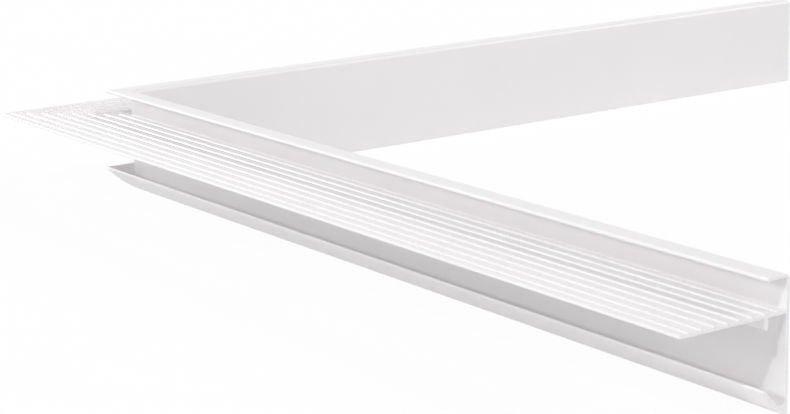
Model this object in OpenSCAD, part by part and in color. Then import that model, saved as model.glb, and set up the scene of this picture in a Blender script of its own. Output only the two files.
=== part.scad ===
// Inside corner of a roof edge trim: two mitred lengths of one extruded section.
// The origin is the bottom end of the re-entrant edge between the two outer faces.
// The left leg runs along +X with its face towards +Y, the right leg along +Y with
// its face towards +X. The roof lies on the far side of both, and +Z is up.

/* [Legs] */
// Length of each leg along its outer face, from the corner to the sawn end
leg_len = 550; // [200:10:1000]

/* [Face] */
// Height of the outer face
face_h = 60; // [50:1:100]
// Thickness of the walls
wall_t = 1.5; // [1.2:0.1:2]
// Outer radius of the bend between the face and the top flange
top_edge_r = 2.6; // [2.2:0.1:4]

/* [Top flange] */
// Reach of the top flange from the outer face
nose_reach = 12.4; // [9:0.2:20]
// Thickness of the bead along the free edge of the top flange
nose_d = 2; // [1.8:0.1:3]

/* [Roof flange] */
// Reach of the roof flange from the outer face
roof_reach = 60; // [50:1:100]
// Depth of the roof flange's upper side below the top of the face
roof_drop = 15.2; // [10:0.2:20]
// Number of grip ribs along the roof flange
rib_count = 8; // [2:1:10]
// Distance of the first rib from the outer face
rib_first = 6.4; // [5:0.2:8]
// Distance of the last rib from the free edge
rib_edge = 5; // [2.6:0.2:8]
// Width of a rib at its foot
rib_w = 1.6; // [1:0.1:2]
// Height of a rib
rib_h = 0.8; // [0.3:0.1:0.8]

/* [Spacer nib] */
// Distance of the nib's far side from the outer face
nib_reach = 13.8; // [10:0.2:16]
// Thickness of the nib
nib_t = 2.1; // [1.5:0.1:3]
// Height of the nib below the roof flange
nib_h = 5.2; // [3:0.2:8]

/* [Drip lip] */
// Reach of the lip's underside from the outer face, without its round end
lip_reach = 13.7; // [10:0.1:18]
// Height of the lip's underside at its reach above the bottom of the face
lip_rise = 11.5; // [8:0.1:14]
// Bow of the lip's underside from a straight line
lip_bow = 0.8; // [0.5:0.05:1.2]
// Rounding in the bottom of the trough behind the lip
trough_r = 2.5; // [1:0.1:3]

/* [Hidden] */
$fn = 48;
coat = [0.95, 0.94, 0.95];
// Small overlap that joins neighbouring shapes into one solid
eps = 0.2;
// Rounding of the inner corners between the face and its flanges
inner_r = 0.6;
// How far the uncut length and the mitre cut run past the section
saw_spare = 5;
saw_far = roof_reach + saw_spare;
roof_z = face_h - roof_drop;
// Distance from one rib to the next
rib_pitch = (roof_reach - rib_first - rib_edge) / (rib_count - 1);
// Radius of the circle that a rib's round back is part of
rib_r = (pow(rib_w / 2, 2) + pow(rib_h, 2)) / (2 * rib_h);
// The underside of the lip is one arc from the back of the face's foot to the lip's reach
lip_foot = [wall_t, 0];
lip_span = [lip_reach, lip_rise] - lip_foot;
lip_r = pow(norm(lip_span), 2) / (8 * lip_bow) + lip_bow / 2;
lip_half = asin(norm(lip_span) / 2 / lip_r);
lip_start = atan2(lip_span.y, lip_span.x) - lip_half;
lip_end = lip_start + 2 * lip_half;
lip_centre = lip_foot + lip_r * [-sin(lip_start), cos(lip_start)];
// Centre of the rounding that touches both the face's back and the lip's inner side
trough_gap = lip_r - wall_t - trough_r;
trough_x = wall_t + trough_r;
trough_z = lip_centre.y - sqrt(pow(trough_gap, 2) - pow(trough_x - lip_centre.x, 2));
trough_out = [trough_x, trough_z] - lip_centre;

// A point on the lip, at an angle from straight down about its centre
function lip_point(angle, radius) = lip_centre + radius * [sin(angle), -cos(angle)];

// What lies between a square corner at the origin and the arc that rounds it
module corner_web(r) {
    difference() {
        square(r);
        translate([r, r]) circle(r);
    }
}

// Upright wall that turns into the top flange in an even bend
module face_section() {
    difference() {
        square([nose_reach - nose_d / 2, face_h]);
        translate([0, face_h]) mirror([0, 1]) corner_web(top_edge_r);
        difference() {
            translate([wall_t, -eps]) square([nose_reach, face_h - wall_t + eps]);
            translate([wall_t, face_h - wall_t]) mirror([0, 1]) corner_web(top_edge_r - wall_t);
        }
    }
}

// Round bead along the free edge of the top flange
module nose_section() {
    translate([nose_reach - nose_d / 2, face_h - nose_d / 2]) circle(d = nose_d);
}

// Roof flange with a round free edge, grip ribs above and the spacer nib below
module roof_section() {
    translate([eps, roof_z - wall_t]) square([roof_reach - wall_t / 2 - eps, wall_t]);
    translate([roof_reach - wall_t / 2, roof_z - wall_t / 2]) circle(d = wall_t);
    translate([wall_t, roof_z]) corner_web(inner_r);
    translate([wall_t, roof_z - wall_t]) mirror([0, 1]) corner_web(inner_r);
    for (k = [0 : rib_count - 1])
        translate([rib_first + k * rib_pitch, roof_z]) rib_section();
    nib_section();
}

// One rib: the cap of a circle, standing on the roof flange
module rib_section() {
    intersection() {
        translate([0, rib_h - rib_r]) circle(rib_r);
        translate([-rib_w, -eps]) square([2 * rib_w, rib_h + 2 * eps]);
    }
}

// Nib with a round lower end
module nib_section() {
    translate([nib_reach - nib_t, roof_z - wall_t - nib_h + nib_t / 2])
        square([nib_t, nib_h - nib_t / 2 + eps]);
    translate([nib_reach - nib_t / 2, roof_z - wall_t - nib_h + nib_t / 2]) circle(d = nib_t);
}

// Curved lip with a round free edge, and the rounded bottom of the trough behind it
module lip_section() {
    intersection() {
        difference() {
            translate(lip_centre) circle(lip_r);
            translate(lip_centre) circle(lip_r - wall_t);
        }
        polygon([
            [wall_t, -lip_r],
            [wall_t, face_h / 2],
            lip_point(lip_end, lip_r / 2),
            lip_point(lip_end, 2 * lip_r)
        ]);
    }
    translate(lip_point(lip_end, lip_r - wall_t / 2)) circle(d = wall_t);
    difference() {
        polygon([
            [wall_t / 2, wall_t / 2],
            lip_centre + trough_out / norm(trough_out) * (lip_r - wall_t / 2),
            [trough_x, trough_z],
            [wall_t / 2, trough_z]
        ]);
        translate([trough_x, trough_z]) circle(trough_r);
    }
}

// A section run along the leg, sawn square at its far end and mitred at the corner
module mitred() {
    difference() {
        translate([-saw_far, 0, 0])
            rotate([90, 0, 90])
                linear_extrude(leg_len + saw_far)
                    mirror([1, 0]) children();
        translate([0, 0, -saw_spare])
            linear_extrude(face_h + 2 * saw_spare)
                polygon([
                    [saw_spare, saw_spare],
                    [-saw_far - saw_spare, saw_spare],
                    [-saw_far - saw_spare, -saw_far - saw_spare]
                ]);
    }
}

// One length of the whole trim
module mitred_length() {
    mitred() face_section();
    mitred() nose_section();
    mitred() roof_section();
    mitred() lip_section();
}

module left_leg() {
    color(coat) mitred_length();
}

module right_leg() {
    color(coat) mirror([1, -1, 0]) mitred_length();
}

left_leg();
right_leg();
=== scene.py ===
import math

import bpy
from mathutils import Matrix, Vector


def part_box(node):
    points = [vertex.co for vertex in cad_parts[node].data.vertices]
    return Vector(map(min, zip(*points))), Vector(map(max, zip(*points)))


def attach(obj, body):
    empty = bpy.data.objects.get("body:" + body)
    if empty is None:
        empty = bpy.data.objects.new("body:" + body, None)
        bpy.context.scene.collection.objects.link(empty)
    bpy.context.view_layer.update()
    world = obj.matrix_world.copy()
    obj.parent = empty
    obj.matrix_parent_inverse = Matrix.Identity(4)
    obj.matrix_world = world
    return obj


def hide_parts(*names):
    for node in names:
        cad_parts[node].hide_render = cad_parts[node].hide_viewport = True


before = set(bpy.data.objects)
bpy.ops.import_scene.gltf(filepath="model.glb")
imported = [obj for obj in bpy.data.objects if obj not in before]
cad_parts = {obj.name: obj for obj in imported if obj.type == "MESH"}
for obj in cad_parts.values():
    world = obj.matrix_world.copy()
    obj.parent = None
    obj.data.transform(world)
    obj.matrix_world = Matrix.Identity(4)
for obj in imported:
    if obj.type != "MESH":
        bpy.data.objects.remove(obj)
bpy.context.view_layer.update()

# The section of the trim.
# One extruded aluminium section: an upright face, a nosed flange along its top, a ribbed
# flange that lies on the roof, a nib under that flange and a curved drip lip at the foot.
leg_low, leg_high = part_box("left_leg")
leg_length = leg_high.x
face_height = leg_high.z
roof_reach = -leg_low.y
wall = 0.0015
foot_edge = 0.0003
top_bend = 0.0026
inner_corner = 0.0006
nose_reach = 0.0124
nose_bead = 0.001
roof_drop = 0.0152
roof_top = face_height - roof_drop
rib_count = 8
rib_first = 0.0064
rib_edge = 0.005
rib_pitch = (roof_reach - rib_first - rib_edge) / (rib_count - 1)
rib_half = 0.0008
rib_rise = 0.0008
nib_reach = 0.0138
nib_half = 0.00105
nib_height = 0.0052
lip_reach = 0.0137
lip_rise = 0.0115
lip_bow = 0.0008
trough_round = 0.0025


def arc(centre, radius, start, end, steps):
    """Points (from the face, up) on a circle, from one angle to another in degrees."""
    turns = [math.radians(start + (end - start) * k / steps) for k in range(steps + 1)]
    return [(centre[0] + radius * math.cos(t), centre[1] + radius * math.sin(t)) for t in turns]


def top_flange_points():
    """Up round the bend, out round the nose and back down inside the bend."""
    bead = (nose_reach - nose_bead, face_height - nose_bead)
    under = face_height - wall
    turn = math.degrees(math.asin((bead[1] - under) / nose_bead))
    points = arc((top_bend, face_height - top_bend), top_bend, 180, 90, 14)
    points += arc(bead, nose_bead, 90, -180 + turn, 20)
    points += arc((top_bend, face_height - top_bend), top_bend - wall, 90, 180, 8)
    return points


def rib_points(middle):
    """Over one grip rib, whose back is the cap of a circle."""
    radius = (rib_half**2 + rib_rise**2) / (2 * rib_rise)
    half_turn = 2 * math.degrees(math.atan(rib_rise / rib_half))
    centre = (middle, roof_top + rib_rise - radius)
    return arc(centre, radius, 90 + half_turn, 90 - half_turn, 12)


def roof_flange_points():
    """Out over the ribs, round the free edge, back under the flange and round the nib."""
    under = roof_top - wall
    nib_end = (nib_reach - nib_half, under - nib_height + nib_half)
    points = arc((wall + inner_corner, roof_top + inner_corner), inner_corner, 180, 270, 5)
    for k in range(rib_count):
        points += rib_points(rib_first + k * rib_pitch)
    points += arc((roof_reach - wall / 2, roof_top - wall / 2), wall / 2, 90, -90, 12)
    points += [(nib_reach, under)]
    points += arc(nib_end, nib_half, 0, -180, 14)
    points += [(nib_reach - 2 * nib_half, under)]
    points += arc((wall + inner_corner, under - inner_corner), inner_corner, 90, 180, 5)
    return points


def lip_points():
    """Down into the trough, out along the lip's inner side, round its edge and back below."""
    span = Vector((lip_reach - wall, lip_rise))
    radius = span.length**2 / (8 * lip_bow) + lip_bow / 2
    half_turn = math.asin(span.length / 2 / radius)
    start = math.atan2(span.y, span.x) - half_turn
    end = start + 2 * half_turn
    centre = Vector((wall - radius * math.sin(start), radius * math.cos(start)))
    inside = radius - wall
    across = wall + trough_round - centre.x
    trough = Vector((across, -math.sqrt((inside - trough_round) ** 2 - across**2))) + centre
    bottom = math.degrees(math.atan2(trough.y - centre.y, trough.x - centre.x))
    first, last = math.degrees(start) - 90, math.degrees(end) - 90
    middle = centre + (radius - wall / 2) * Vector((math.sin(end), -math.cos(end)))
    points = arc(trough, trough_round, 180, 360 + bottom, 10)
    points += arc(centre, inside, bottom, last, 16)[1:]
    points += arc(middle, wall / 2, 180 + last, last, 12)[1:-1]
    points += arc(centre, radius, last, first, 24)
    return points


outline = arc((foot_edge, foot_edge), foot_edge, 270, 180, 6)
outline += top_flange_points() + roof_flange_points() + lip_points()

section = bpy.data.meshes.new("trim_section")
section.from_pydata([(0, -u, z) for u, z in outline], [], [list(range(len(outline)))])
section.update()
outward = section.attributes.new("outward", "FLOAT_VECTOR", "POINT")
for k, after in enumerate(outline[1:] + outline[:1]):
    along = Vector(after) - Vector(outline[k - 1])
    outward.data[k].vector = Vector((0, along.y, along.x)).normalized()


# The white coat.
# Matt white powder coat, baked on the metal, a little uneven in tint and gloss. It has a fine
# orange peel. The lines that the extrusion die left along the metal show faintly through it,
# as the saw's marks do at the ends, which were coated after sawing.
thin_coat_white = (0.891, 0.874, 0.884, 1)
thick_coat_white = (0.909, 0.892, 0.9, 1)
die_line_depth = 0.00003
peel_depth = 0.00003
saw_mark_depth = 0.00006
blade_centre = (0, -0.16, 0.11)


def white_coat():
    """Coat whose patterns lie along the metal in the same way on both legs."""
    material = bpy.data.materials.new("powder_coat")
    material.use_nodes = True
    nodes, links = material.node_tree.nodes, material.node_tree.links
    skin = nodes["Principled BSDF"]
    run = nodes.new("ShaderNodeAttribute")
    run.attribute_name = "run"

    clouds = nodes.new("ShaderNodeTexNoise")
    clouds.inputs["Scale"].default_value = 14
    clouds.inputs["Detail"].default_value = 3
    tint = nodes.new("ShaderNodeValToRGB")
    tint.color_ramp.elements[0].position = 0.3
    tint.color_ramp.elements[0].color = thin_coat_white
    tint.color_ramp.elements[1].position = 0.7
    tint.color_ramp.elements[1].color = thick_coat_white
    links.new(run.outputs["Vector"], clouds.inputs["Vector"])
    links.new(clouds.outputs["Fac"], tint.inputs["Fac"])
    links.new(tint.outputs["Color"], skin.inputs["Base Color"])

    die_scale = nodes.new("ShaderNodeMapping")
    die_scale.inputs["Scale"].default_value = (3, 900, 900)
    die = nodes.new("ShaderNodeTexNoise")
    die.inputs["Scale"].default_value = 1
    die.inputs["Detail"].default_value = 3
    die_bump = nodes.new("ShaderNodeBump")
    die_bump.inputs["Strength"].default_value = 0.3
    die_bump.inputs["Distance"].default_value = die_line_depth
    links.new(run.outputs["Vector"], die_scale.inputs["Vector"])
    links.new(die_scale.outputs["Vector"], die.inputs["Vector"])
    links.new(die.outputs["Fac"], die_bump.inputs["Height"])
    gloss = nodes.new("ShaderNodeMapRange")
    gloss.inputs["From Min"].default_value = 0.3
    gloss.inputs["From Max"].default_value = 0.7
    gloss.inputs["To Min"].default_value = 0.33
    gloss.inputs["To Max"].default_value = 0.39
    links.new(die.outputs["Fac"], gloss.inputs["Value"])
    links.new(gloss.outputs["Result"], skin.inputs["Roughness"])

    peel = nodes.new("ShaderNodeTexNoise")
    peel.inputs["Scale"].default_value = 700
    peel.inputs["Detail"].default_value = 2
    peel_bump = nodes.new("ShaderNodeBump")
    peel_bump.inputs["Strength"].default_value = 0.7
    peel_bump.inputs["Distance"].default_value = peel_depth
    links.new(run.outputs["Vector"], peel.inputs["Vector"])
    links.new(peel.outputs["Fac"], peel_bump.inputs["Height"])
    links.new(die_bump.outputs["Normal"], peel_bump.inputs["Normal"])

    sawn = nodes.new("ShaderNodeAttribute")
    sawn.attribute_name = "sawn"
    saw_marks = nodes.new("ShaderNodeTexWave")
    saw_marks.wave_type = "RINGS"
    saw_marks.rings_direction = "X"
    saw_marks.inputs["Scale"].default_value = 260
    saw_marks.inputs["Distortion"].default_value = 3
    saw_marks.inputs["Detail"].default_value = 2
    saw_marks.inputs["Detail Scale"].default_value = 0.6
    blade_place = nodes.new("ShaderNodeMapping")
    blade_place.inputs["Location"].default_value = [-c for c in blade_centre]
    saw_bump = nodes.new("ShaderNodeBump")
    saw_bump.inputs["Distance"].default_value = saw_mark_depth
    links.new(run.outputs["Vector"], blade_place.inputs["Vector"])
    links.new(blade_place.outputs["Vector"], saw_marks.inputs["Vector"])
    links.new(saw_marks.outputs["Fac"], saw_bump.inputs["Height"])
    links.new(sawn.outputs["Fac"], saw_bump.inputs["Strength"])
    links.new(peel_bump.outputs["Normal"], saw_bump.inputs["Normal"])
    links.new(saw_bump.outputs["Normal"], skin.inputs["Normal"])
    return material


# The two lengths.
# Each is sawn square at its free end and mitred at the corner, where the two are joined. The
# sawn edges are broken, so a hairline shows along the mitre. The right leg is the left one
# mirrored across the mitre.
broken_edge = 0.00015
broken_depth_share = 0.8  # depth of a broken edge against its length
same_place = 1e-7
at_cut_within = 1e-6
slanted_edges = 1.5  # the mitre's slant takes all points this many broken edges from the corner
smooth_up_to = math.radians(20)


def mitred_length_tree():
    """The section run along +X, its sawn edges broken, mitred, and mirrored for the right leg."""
    tree = bpy.data.node_groups.new("mitred_length", "GeometryNodeTree")
    interface = tree.interface
    interface.new_socket("Geometry", in_out="INPUT", socket_type="NodeSocketGeometry")
    interface.new_socket("Length", in_out="INPUT", socket_type="NodeSocketFloat")
    interface.new_socket("Broken edge", in_out="INPUT", socket_type="NodeSocketFloat")
    interface.new_socket("Right leg", in_out="INPUT", socket_type="NodeSocketBool")
    interface.new_socket("Coat", in_out="INPUT", socket_type="NodeSocketMaterial")
    interface.new_socket("Geometry", in_out="OUTPUT", socket_type="NodeSocketGeometry")
    nodes, links = tree.nodes, tree.links
    given = nodes.new("NodeGroupInput")
    made = nodes.new("NodeGroupOutput")

    def worked(operation, first, second):
        node = nodes.new("ShaderNodeMath")
        node.operation = operation
        for socket, value in zip(node.inputs, (first, second)):
            if isinstance(value, (int, float)):
                socket.default_value = value
            else:
                links.new(value, socket)
        return node.outputs["Value"]

    def run_out(mesh, top, distance):
        """One step of the run; the faces in top, or all of them, go that far along +X."""
        offset = nodes.new("ShaderNodeCombineXYZ")
        links.new(distance, offset.inputs["X"])
        node = nodes.new("GeometryNodeExtrudeMesh")
        node.inputs["Individual"].default_value = False
        node.inputs["Offset Scale"].default_value = 1
        links.new(mesh, node.inputs["Mesh"])
        links.new(offset.outputs["Vector"], node.inputs["Offset"])
        if top is not None:
            links.new(top, node.inputs["Selection"])
        return node.outputs["Mesh"], node.outputs["Top"]

    edge = given.outputs["Broken edge"]
    plain_run = worked("MULTIPLY_ADD", edge, -2)
    links.new(given.outputs["Length"], plain_run.node.inputs[2])
    mesh, top = run_out(given.outputs["Geometry"], None, edge)
    mesh, top = run_out(mesh, top, plain_run)
    mesh, top = run_out(mesh, top, edge)
    sawn_face = nodes.new("GeometryNodeStoreNamedAttribute")
    sawn_face.data_type = "FLOAT"
    sawn_face.domain = "FACE"
    sawn_face.inputs["Name"].default_value = "sawn"
    sawn_face.inputs["Value"].default_value = 1
    links.new(mesh, sawn_face.inputs["Geometry"])
    links.new(top, sawn_face.inputs["Selection"])
    first_face = nodes.new("GeometryNodeFlipFaces")
    links.new(given.outputs["Geometry"], first_face.inputs["Mesh"])
    closed = nodes.new("GeometryNodeJoinGeometry")
    links.new(sawn_face.outputs["Geometry"], closed.inputs["Geometry"])
    links.new(first_face.outputs["Mesh"], closed.inputs["Geometry"])
    welded = nodes.new("GeometryNodeMergeByDistance")
    welded.inputs["Distance"].default_value = same_place
    links.new(closed.outputs["Geometry"], welded.inputs["Geometry"])

    place = nodes.new("GeometryNodeInputPosition")
    apart = nodes.new("ShaderNodeSeparateXYZ")
    links.new(place.outputs["Position"], apart.inputs["Vector"])
    outward = nodes.new("GeometryNodeInputNamedAttribute")
    outward.data_type = "FLOAT_VECTOR"
    outward.inputs["Name"].default_value = "outward"
    inward = nodes.new("ShaderNodeVectorMath")
    inward.operation = "SCALE"
    links.new(outward.outputs["Attribute"], inward.inputs[0])
    links.new(worked("MULTIPLY", edge, -broken_depth_share), inward.inputs["Scale"])
    half_length = worked("MULTIPLY", given.outputs["Length"], 0.5)
    from_middle = worked("ABSOLUTE", worked("SUBTRACT", apart.outputs["X"], half_length), 0)
    nearly_half = worked("SUBTRACT", half_length, at_cut_within)
    at_cut = worked("GREATER_THAN", from_middle, nearly_half)
    broken = nodes.new("GeometryNodeSetPosition")
    links.new(welded.outputs["Geometry"], broken.inputs["Geometry"])
    links.new(at_cut, broken.inputs["Selection"])
    links.new(inward.outputs["Vector"], broken.inputs["Offset"])

    near_corner = worked("MULTIPLY", edge, slanted_edges)
    at_corner = worked("LESS_THAN", apart.outputs["X"], near_corner)
    slant = nodes.new("ShaderNodeCombineXYZ")
    links.new(apart.outputs["Y"], slant.inputs["X"])
    mitred = nodes.new("GeometryNodeSetPosition")
    links.new(broken.outputs["Geometry"], mitred.inputs["Geometry"])
    links.new(at_corner, mitred.inputs["Selection"])
    links.new(slant.outputs["Vector"], mitred.inputs["Offset"])

    kept_run = nodes.new("GeometryNodeStoreNamedAttribute")
    kept_run.data_type = "FLOAT_VECTOR"
    kept_run.domain = "POINT"
    kept_run.inputs["Name"].default_value = "run"
    links.new(mitred.outputs["Geometry"], kept_run.inputs["Geometry"])
    links.new(place.outputs["Position"], kept_run.inputs["Value"])

    swapped = nodes.new("ShaderNodeCombineXYZ")
    links.new(apart.outputs["Y"], swapped.inputs["X"])
    links.new(apart.outputs["X"], swapped.inputs["Y"])
    links.new(apart.outputs["Z"], swapped.inputs["Z"])
    across = nodes.new("GeometryNodeSetPosition")
    links.new(kept_run.outputs["Geometry"], across.inputs["Geometry"])
    links.new(swapped.outputs["Vector"], across.inputs["Position"])
    turned = nodes.new("GeometryNodeFlipFaces")
    links.new(across.outputs["Geometry"], turned.inputs["Mesh"])
    side = nodes.new("GeometryNodeSwitch")
    side.input_type = "GEOMETRY"
    links.new(given.outputs["Right leg"], side.inputs["Switch"])
    links.new(kept_run.outputs["Geometry"], side.inputs["False"])
    links.new(turned.outputs["Mesh"], side.inputs["True"])

    real = nodes.new("GeometryNodeRealizeInstances")
    coated = nodes.new("GeometryNodeSetMaterial")
    links.new(side.outputs["Output"], real.inputs["Geometry"])
    links.new(real.outputs["Geometry"], coated.inputs["Geometry"])
    links.new(given.outputs["Coat"], coated.inputs["Material"])
    links.new(coated.outputs["Geometry"], made.inputs["Geometry"])
    return tree


length_tree = mitred_length_tree()
coat = white_coat()
section.materials.append(coat)


def trim_length(node, right):
    """A leg as a plain mesh, in the place of the CAD node of that name."""
    maker = bpy.data.objects.new(node + "_maker", section)
    bpy.context.scene.collection.objects.link(maker)
    modifier = maker.modifiers.new("mitred_length", "NODES")
    modifier.node_group = length_tree
    inputs = [s for s in length_tree.interface.items_tree if s.in_out == "INPUT"]
    sockets = {s.name: s.identifier for s in inputs}
    modifier[sockets["Length"]] = leg_length
    modifier[sockets["Broken edge"]] = broken_edge
    modifier[sockets["Right leg"]] = right
    modifier[sockets["Coat"]] = coat
    graph = bpy.context.evaluated_depsgraph_get()
    mesh = bpy.data.meshes.new_from_object(maker.evaluated_get(graph), depsgraph=graph)
    bpy.data.objects.remove(maker)
    mesh.set_sharp_from_angle(angle=smooth_up_to)
    piece = bpy.data.objects.new("coated_" + node, mesh)
    bpy.context.scene.collection.objects.link(piece)
    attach(piece, "root")
    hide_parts(node)


trim_length("left_leg", False)
trim_length("right_leg", True)


# The floor.
# Plain white paint. Seen directly it is nearly all plain white, with a faint share of its own
# shading, which keeps the trim's soft shadow. That white lights nothing, so it isn't sampled
# as a lamp.
floor_half = 40
floor_shown_white = 0.94


def seen_directly(nodes, links, share):
    """How far a surface shows as plain white: to the camera, in gloss and through glass."""
    seen = nodes.new("ShaderNodeLightPath")
    straight = nodes.new("ShaderNodeMath")
    straight.operation = "MAXIMUM"
    links.new(seen.outputs["Is Camera Ray"], straight.inputs[0])
    links.new(seen.outputs["Is Glossy Ray"], straight.inputs[1])
    any_way = nodes.new("ShaderNodeMath")
    any_way.operation = "MAXIMUM"
    links.new(straight.outputs["Value"], any_way.inputs[0])
    links.new(seen.outputs["Is Transmission Ray"], any_way.inputs[1])
    part = nodes.new("ShaderNodeMath")
    part.operation = "MULTIPLY"
    part.inputs[1].default_value = share
    links.new(any_way.outputs["Value"], part.inputs[0])
    return part.outputs["Value"]


def floor_white():
    material = bpy.data.materials.new("floor_white")
    material.cycles.emission_sampling = "NONE"
    material.use_nodes = True
    nodes, links = material.node_tree.nodes, material.node_tree.links
    paint = nodes["Principled BSDF"]
    paint.inputs["Base Color"].default_value = (0.96, 0.96, 0.96, 1)
    paint.inputs["Roughness"].default_value = 0.9
    paper = nodes.new("ShaderNodeEmission")
    mix = nodes.new("ShaderNodeMixShader")
    links.new(seen_directly(nodes, links, floor_shown_white), mix.inputs["Fac"])
    links.new(paint.outputs["BSDF"], mix.inputs[1])
    links.new(paper.outputs["Emission"], mix.inputs[2])
    links.new(mix.outputs["Shader"], nodes["Material Output"].inputs["Surface"])
    return material


floor_mesh = bpy.data.meshes.new("floor")
corners = [(-floor_half, -floor_half), (floor_half, -floor_half)]
corners += [(floor_half, floor_half), (-floor_half, floor_half)]
floor_mesh.from_pydata([(x, y, 0) for x, y in corners], [], [(0, 1, 2, 3)])
floor_mesh.materials.append(floor_white())
floor = bpy.data.objects.new("floor", floor_mesh)
bpy.context.scene.collection.objects.link(floor)


# The light.
# A dim white room, one small lamp above the roof side, which throws the flanges' shadows on
# the back of the face, and broad soft lamps all round. The low one beyond the corner runs
# along the left leg and draws out its ribs.
def room_light(level):
    """Even light from all round, too dim to sample as a lamp; the room itself shows white."""
    world = bpy.data.worlds.new("room")
    world.cycles.sampling_method = "NONE"
    world.use_nodes = True
    nodes, links = world.node_tree.nodes, world.node_tree.links
    room = nodes["Background"]
    room.inputs["Color"].default_value = (1, 1, 1, 1)
    room.inputs["Strength"].default_value = level
    backdrop = nodes.new("ShaderNodeBackground")
    backdrop.inputs["Color"].default_value = (1, 1, 1, 1)
    backdrop.inputs["Strength"].default_value = 1
    mix = nodes.new("ShaderNodeMixShader")
    links.new(seen_directly(nodes, links, 1), mix.inputs["Fac"])
    links.new(room.outputs["Background"], mix.inputs[1])
    links.new(backdrop.outputs["Background"], mix.inputs[2])
    links.new(mix.outputs["Shader"], nodes["World Output"].inputs["Surface"])
    bpy.context.scene.world = world


def lamp(name, heading, height, spread, strength):
    """A lamp far off, by its heading from the left leg's run and its height, in degrees."""
    around, above = math.radians(heading), math.radians(height)
    level = math.cos(above)
    towards = Vector((level * math.cos(around), level * math.sin(around), math.sin(above)))
    light = bpy.data.lights.new(name, "SUN")
    light.energy = strength
    light.angle = math.radians(spread)
    stand = bpy.data.objects.new(name, light)
    stand.rotation_mode = "QUATERNION"
    stand.rotation_quaternion = towards.to_track_quat("Z", "Y")
    bpy.context.scene.collection.objects.link(stand)


room_light(0.05)
lamp("key_lamp", 295, 49, 3.5, 0.8)
lamp("roof_side_lamp", 270, 24, 14, 0.68)
lamp("roof_side_low_lamp", 240, 15, 24, 0.3)
lamp("corner_low_lamp", 191, 8, 24, 1.35)
lamp("corner_high_lamp", 180, 45, 24, 0.5)
lamp("face_side_lamp", 90, 30, 24, 0.64)
lamp("face_side_high_lamp", 60, 42, 12, 0.7)
lamp("end_lamp", 0, 30, 24, 0.52)
lamp("front_low_lamp", 330, 10, 24, 0.4)


# The camera.
# It stands in front of the left leg's sawn end, on the roof side, looking a little down. Its
# place, turn and lens were fitted to the trim's straight lines.
camera_place = Vector((1.169412, -0.626152, 0.296337))
camera_heading = math.radians(145.100)
camera_dip = math.radians(13.329)
camera_roll = math.radians(-1.262)
camera_lens = 101.148


def photo_camera():
    ahead = Vector(
        (
            math.cos(camera_dip) * math.cos(camera_heading),
            math.cos(camera_dip) * math.sin(camera_heading),
            -math.sin(camera_dip),
        )
    )
    level_right = Vector((math.sin(camera_heading), -math.cos(camera_heading), 0))
    level_up = level_right.cross(ahead)
    right = math.cos(camera_roll) * level_right + math.sin(camera_roll) * level_up
    up = math.cos(camera_roll) * level_up - math.sin(camera_roll) * level_right
    view = bpy.data.cameras.new("photo_camera")
    view.lens = camera_lens
    view.sensor_width = 36
    view.clip_start = 0.01
    view.clip_end = 100
    camera = bpy.data.objects.new("photo_camera", view)
    turn = Matrix((right, up, -ahead)).transposed()
    camera.matrix_world = Matrix.Translation(camera_place) @ turn.to_4x4()
    bpy.context.scene.collection.objects.link(camera)
    bpy.context.scene.camera = camera


photo_camera()
bpy.context.scene.view_settings.view_transform = "Standard"
